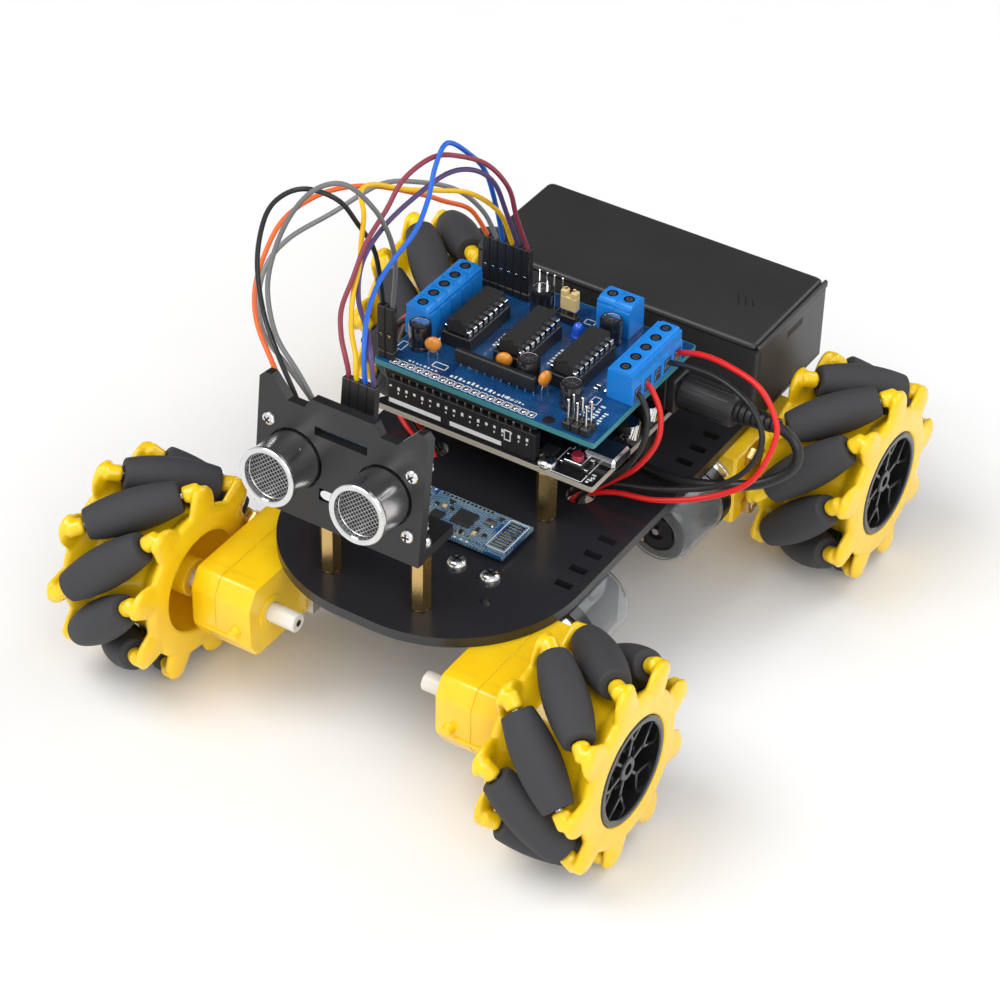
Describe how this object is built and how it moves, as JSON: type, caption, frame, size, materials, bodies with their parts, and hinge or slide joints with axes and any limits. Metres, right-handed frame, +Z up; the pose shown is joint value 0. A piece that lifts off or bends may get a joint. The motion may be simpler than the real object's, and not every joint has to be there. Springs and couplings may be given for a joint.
{
  "type": "four wheel robot chassis",
  "caption": "Wheeled robot chassis: acrylic deck on geared motors with mecanum wheels, carrying stacked control boards, a distance sensor, a radio board and a battery box.",
  "frame": {"origin": "on the floor, under the middle of the four wheels", "axes": "+Z up, -Y towards the front where the distance sensor looks, +X to the robot's own left along the wheel axes"},
  "size_m": [0.164, 0.2, 0.1389],
  "materials": {
    "black_acrylic": "polished cast sheet",
    "aluminium": "satin",
    "yellow_plastic": "moulded gloss",
    "motor_steel": "plated",
    "black_board": "solder mask",
    "red_button": "moulded",
    "blue_board": "solder mask",
    "satin_black": "satin sheet",
    "sensor_aluminium": "spun",
    "radio_board": "solder mask",
    "brass": "turned",
    "battery_plastic": "fine texture",
    "cell_wrap": "shrink film",
    "wire_plastic": "soft insulation",
    "hub_black": "moulded gloss",
    "roller_rubber": "matte"
  },
  "bodies": {
    "chassis": {"chassis_plate": "black_acrylic", "motor_brackets": "aluminium", "gearboxes": "yellow_plastic", "motors": "motor_steel", "controller_board": "black_board", "drive_shield": "blue_board", "sensor_bracket": "satin_black", "distance_sensor": "sensor_aluminium", "wireless_board": "radio_board", "posts_and_screws": "brass", "battery_case": "battery_plastic", "battery_cells": "cell_wrap", "jumper_wires": "wire_plastic", "power_and_motor_leads": "wire_plastic"},
    "reset_button": {"reset_button": "red_button"},
    "battery_lid": {"battery_lid": "battery_plastic"},
    "wheel_front_left": {"wheel_frame_front_left": "yellow_plastic", "wheel_hub_front_left": "hub_black"},
    "wheel_front_right": {"wheel_frame_front_right": "yellow_plastic", "wheel_hub_front_right": "hub_black"},
    "wheel_rear_left": {"wheel_frame_rear_left": "yellow_plastic", "wheel_hub_rear_left": "hub_black"},
    "wheel_rear_right": {"wheel_frame_rear_right": "yellow_plastic", "wheel_hub_rear_right": "hub_black"},
    "roller_front_left_1": {"roller_front_left_1": "roller_rubber"},
    "roller_front_left_2": {"roller_front_left_2": "roller_rubber"},
    "roller_front_left_3": {"roller_front_left_3": "roller_rubber"},
    "roller_front_left_4": {"roller_front_left_4": "roller_rubber"},
    "roller_front_left_5": {"roller_front_left_5": "roller_rubber"},
    "roller_front_left_6": {"roller_front_left_6": "roller_rubber"},
    "roller_front_left_7": {"roller_front_left_7": "roller_rubber"},
    "roller_front_left_8": {"roller_front_left_8": "roller_rubber"},
    "roller_front_left_9": {"roller_front_left_9": "roller_rubber"},
    "roller_front_right_1": {"roller_front_right_1": "roller_rubber"},
    "roller_front_right_2": {"roller_front_right_2": "roller_rubber"},
    "roller_front_right_3": {"roller_front_right_3": "roller_rubber"},
    "roller_front_right_4": {"roller_front_right_4": "roller_rubber"},
    "roller_front_right_5": {"roller_front_right_5": "roller_rubber"},
    "roller_front_right_6": {"roller_front_right_6": "roller_rubber"},
    "roller_front_right_7": {"roller_front_right_7": "roller_rubber"},
    "roller_front_right_8": {"roller_front_right_8": "roller_rubber"},
    "roller_front_right_9": {"roller_front_right_9": "roller_rubber"},
    "roller_rear_left_1": {"roller_rear_left_1": "roller_rubber"},
    "roller_rear_left_2": {"roller_rear_left_2": "roller_rubber"},
    "roller_rear_left_3": {"roller_rear_left_3": "roller_rubber"},
    "roller_rear_left_4": {"roller_rear_left_4": "roller_rubber"},
    "roller_rear_left_5": {"roller_rear_left_5": "roller_rubber"},
    "roller_rear_left_6": {"roller_rear_left_6": "roller_rubber"},
    "roller_rear_left_7": {"roller_rear_left_7": "roller_rubber"},
    "roller_rear_left_8": {"roller_rear_left_8": "roller_rubber"},
    "roller_rear_left_9": {"roller_rear_left_9": "roller_rubber"},
    "roller_rear_right_1": {"roller_rear_right_1": "roller_rubber"},
    "roller_rear_right_2": {"roller_rear_right_2": "roller_rubber"},
    "roller_rear_right_3": {"roller_rear_right_3": "roller_rubber"},
    "roller_rear_right_4": {"roller_rear_right_4": "roller_rubber"},
    "roller_rear_right_5": {"roller_rear_right_5": "roller_rubber"},
    "roller_rear_right_6": {"roller_rear_right_6": "roller_rubber"},
    "roller_rear_right_7": {"roller_rear_right_7": "roller_rubber"},
    "roller_rear_right_8": {"roller_rear_right_8": "roller_rubber"},
    "roller_rear_right_9": {"roller_rear_right_9": "roller_rubber"}
  },
  "joints": [
    {"name": "wheel_front_left_spin", "type": "hinge", "parent": "chassis", "child": "wheel_front_left", "pos_m": [0.0665, -0.07, 0.03], "axis": [1, 0, 0], "continuous": true},
    {"name": "wheel_front_right_spin", "type": "hinge", "parent": "chassis", "child": "wheel_front_right", "pos_m": [-0.0665, -0.07, 0.03], "axis": [1, 0, 0], "continuous": true},
    {"name": "wheel_rear_left_spin", "type": "hinge", "parent": "chassis", "child": "wheel_rear_left", "pos_m": [0.0665, 0.07, 0.03], "axis": [1, 0, 0], "continuous": true},
    {"name": "wheel_rear_right_spin", "type": "hinge", "parent": "chassis", "child": "wheel_rear_right", "pos_m": [-0.0665, 0.07, 0.03], "axis": [1, 0, 0], "continuous": true},
    {"name": "roller_front_left_1_spin", "type": "hinge", "parent": "wheel_front_left", "child": "roller_front_left_1", "pos_m": [0.0665, -0.05451, 0.01154], "axis": [0.7071, 0.5417, 0.4545], "continuous": true},
    {"name": "roller_front_left_2_spin", "type": "hinge", "parent": "wheel_front_left", "child": "roller_front_left_2", "pos_m": [0.0665, -0.04627, 0.02582], "axis": [0.7071, 0.1228, 0.6964], "continuous": true},
    {"name": "roller_front_left_3_spin", "type": "hinge", "parent": "wheel_front_left", "child": "roller_front_left_3", "pos_m": [0.0665, -0.04913, 0.04205], "axis": [0.7071, -0.3536, 0.6124], "continuous": true},
    {"name": "roller_front_left_4_spin", "type": "hinge", "parent": "wheel_front_left", "child": "roller_front_left_4", "pos_m": [0.0665, -0.06176, 0.05265], "axis": [0.7071, -0.6645, 0.2418], "continuous": true},
    {"name": "roller_front_left_5_spin", "type": "hinge", "parent": "wheel_front_left", "child": "roller_front_left_5", "pos_m": [0.0665, -0.07824, 0.05265], "axis": [0.7071, -0.6645, -0.2418], "continuous": true},
    {"name": "roller_front_left_6_spin", "type": "hinge", "parent": "wheel_front_left", "child": "roller_front_left_6", "pos_m": [0.0665, -0.09087, 0.04205], "axis": [0.7071, -0.3536, -0.6124], "continuous": true},
    {"name": "roller_front_left_7_spin", "type": "hinge", "parent": "wheel_front_left", "child": "roller_front_left_7", "pos_m": [0.0665, -0.09373, 0.02582], "axis": [0.7071, 0.1228, -0.6964], "continuous": true},
    {"name": "roller_front_left_8_spin", "type": "hinge", "parent": "wheel_front_left", "child": "roller_front_left_8", "pos_m": [0.0665, -0.08549, 0.01154], "axis": [0.7071, 0.5417, -0.4545], "continuous": true},
    {"name": "roller_front_left_9_spin", "type": "hinge", "parent": "wheel_front_left", "child": "roller_front_left_9", "pos_m": [0.0665, -0.07, 0.0059], "axis": [0.7071, 0.7071, 0], "continuous": true},
    {"name": "roller_front_right_1_spin", "type": "hinge", "parent": "wheel_front_right", "child": "roller_front_right_1", "pos_m": [-0.0665, -0.05451, 0.01154], "axis": [-0.7071, 0.5417, 0.4545], "continuous": true},
    {"name": "roller_front_right_2_spin", "type": "hinge", "parent": "wheel_front_right", "child": "roller_front_right_2", "pos_m": [-0.0665, -0.04627, 0.02582], "axis": [-0.7071, 0.1228, 0.6964], "continuous": true},
    {"name": "roller_front_right_3_spin", "type": "hinge", "parent": "wheel_front_right", "child": "roller_front_right_3", "pos_m": [-0.0665, -0.04913, 0.04205], "axis": [-0.7071, -0.3536, 0.6124], "continuous": true},
    {"name": "roller_front_right_4_spin", "type": "hinge", "parent": "wheel_front_right", "child": "roller_front_right_4", "pos_m": [-0.0665, -0.06176, 0.05265], "axis": [-0.7071, -0.6645, 0.2418], "continuous": true},
    {"name": "roller_front_right_5_spin", "type": "hinge", "parent": "wheel_front_right", "child": "roller_front_right_5", "pos_m": [-0.0665, -0.07824, 0.05265], "axis": [-0.7071, -0.6645, -0.2418], "continuous": true},
    {"name": "roller_front_right_6_spin", "type": "hinge", "parent": "wheel_front_right", "child": "roller_front_right_6", "pos_m": [-0.0665, -0.09087, 0.04205], "axis": [-0.7071, -0.3536, -0.6124], "continuous": true},
    {"name": "roller_front_right_7_spin", "type": "hinge", "parent": "wheel_front_right", "child": "roller_front_right_7", "pos_m": [-0.0665, -0.09373, 0.02582], "axis": [-0.7071, 0.1228, -0.6964], "continuous": true},
    {"name": "roller_front_right_8_spin", "type": "hinge", "parent": "wheel_front_right", "child": "roller_front_right_8", "pos_m": [-0.0665, -0.08549, 0.01154], "axis": [-0.7071, 0.5417, -0.4545], "continuous": true},
    {"name": "roller_front_right_9_spin", "type": "hinge", "parent": "wheel_front_right", "child": "roller_front_right_9", "pos_m": [-0.0665, -0.07, 0.0059], "axis": [-0.7071, 0.7071, 0], "continuous": true},
    {"name": "roller_rear_left_1_spin", "type": "hinge", "parent": "wheel_rear_left", "child": "roller_rear_left_1", "pos_m": [0.0665, 0.08549, 0.01154], "axis": [0.7071, -0.5417, -0.4545], "continuous": true},
    {"name": "roller_rear_left_2_spin", "type": "hinge", "parent": "wheel_rear_left", "child": "roller_rear_left_2", "pos_m": [0.0665, 0.09373, 0.02582], "axis": [0.7071, -0.1228, -0.6964], "continuous": true},
    {"name": "roller_rear_left_3_spin", "type": "hinge", "parent": "wheel_rear_left", "child": "roller_rear_left_3", "pos_m": [0.0665, 0.09087, 0.04205], "axis": [0.7071, 0.3536, -0.6124], "continuous": true},
    {"name": "roller_rear_left_4_spin", "type": "hinge", "parent": "wheel_rear_left", "child": "roller_rear_left_4", "pos_m": [0.0665, 0.07824, 0.05265], "axis": [0.7071, 0.6645, -0.2418], "continuous": true},
    {"name": "roller_rear_left_5_spin", "type": "hinge", "parent": "wheel_rear_left", "child": "roller_rear_left_5", "pos_m": [0.0665, 0.06176, 0.05265], "axis": [0.7071, 0.6645, 0.2418], "continuous": true},
    {"name": "roller_rear_left_6_spin", "type": "hinge", "parent": "wheel_rear_left", "child": "roller_rear_left_6", "pos_m": [0.0665, 0.04913, 0.04205], "axis": [0.7071, 0.3536, 0.6124], "continuous": true},
    {"name": "roller_rear_left_7_spin", "type": "hinge", "parent": "wheel_rear_left", "child": "roller_rear_left_7", "pos_m": [0.0665, 0.04627, 0.02582], "axis": [0.7071, -0.1228, 0.6964], "continuous": true},
    {"name": "roller_rear_left_8_spin", "type": "hinge", "parent": "wheel_rear_left", "child": "roller_rear_left_8", "pos_m": [0.0665, 0.05451, 0.01154], "axis": [0.7071, -0.5417, 0.4545], "continuous": true},
    {"name": "roller_rear_left_9_spin", "type": "hinge", "parent": "wheel_rear_left", "child": "roller_rear_left_9", "pos_m": [0.0665, 0.07, 0.0059], "axis": [0.7071, -0.7071, 0], "continuous": true},
    {"name": "roller_rear_right_1_spin", "type": "hinge", "parent": "wheel_rear_right", "child": "roller_rear_right_1", "pos_m": [-0.0665, 0.08549, 0.01154], "axis": [-0.7071, -0.5417, -0.4545], "continuous": true},
    {"name": "roller_rear_right_2_spin", "type": "hinge", "parent": "wheel_rear_right", "child": "roller_rear_right_2", "pos_m": [-0.0665, 0.09373, 0.02582], "axis": [-0.7071, -0.1228, -0.6964], "continuous": true},
    {"name": "roller_rear_right_3_spin", "type": "hinge", "parent": "wheel_rear_right", "child": "roller_rear_right_3", "pos_m": [-0.0665, 0.09087, 0.04205], "axis": [-0.7071, 0.3536, -0.6124], "continuous": true},
    {"name": "roller_rear_right_4_spin", "type": "hinge", "parent": "wheel_rear_right", "child": "roller_rear_right_4", "pos_m": [-0.0665, 0.07824, 0.05265], "axis": [-0.7071, 0.6645, -0.2418], "continuous": true},
    {"name": "roller_rear_right_5_spin", "type": "hinge", "parent": "wheel_rear_right", "child": "roller_rear_right_5", "pos_m": [-0.0665, 0.06176, 0.05265], "axis": [-0.7071, 0.6645, 0.2418], "continuous": true},
    {"name": "roller_rear_right_6_spin", "type": "hinge", "parent": "wheel_rear_right", "child": "roller_rear_right_6", "pos_m": [-0.0665, 0.04913, 0.04205], "axis": [-0.7071, 0.3536, 0.6124], "continuous": true},
    {"name": "roller_rear_right_7_spin", "type": "hinge", "parent": "wheel_rear_right", "child": "roller_rear_right_7", "pos_m": [-0.0665, 0.04627, 0.02582], "axis": [-0.7071, -0.1228, 0.6964], "continuous": true},
    {"name": "roller_rear_right_8_spin", "type": "hinge", "parent": "wheel_rear_right", "child": "roller_rear_right_8", "pos_m": [-0.0665, 0.05451, 0.01154], "axis": [-0.7071, -0.5417, 0.4545], "continuous": true},
    {"name": "roller_rear_right_9_spin", "type": "hinge", "parent": "wheel_rear_right", "child": "roller_rear_right_9", "pos_m": [-0.0665, 0.07, 0.0059], "axis": [-0.7071, -0.7071, 0], "continuous": true},
    {"name": "battery_lid_slide", "type": "slide", "parent": "chassis", "child": "battery_lid", "axis": [-1, 0, 0], "range_m": [0, 0.09]},
    {"name": "reset_button_press", "type": "slide", "parent": "chassis", "child": "reset_button", "axis": [0, 0, -1], "range_m": [0, 0.0005], "stiffness_N_per_m": 400}
  ]
}
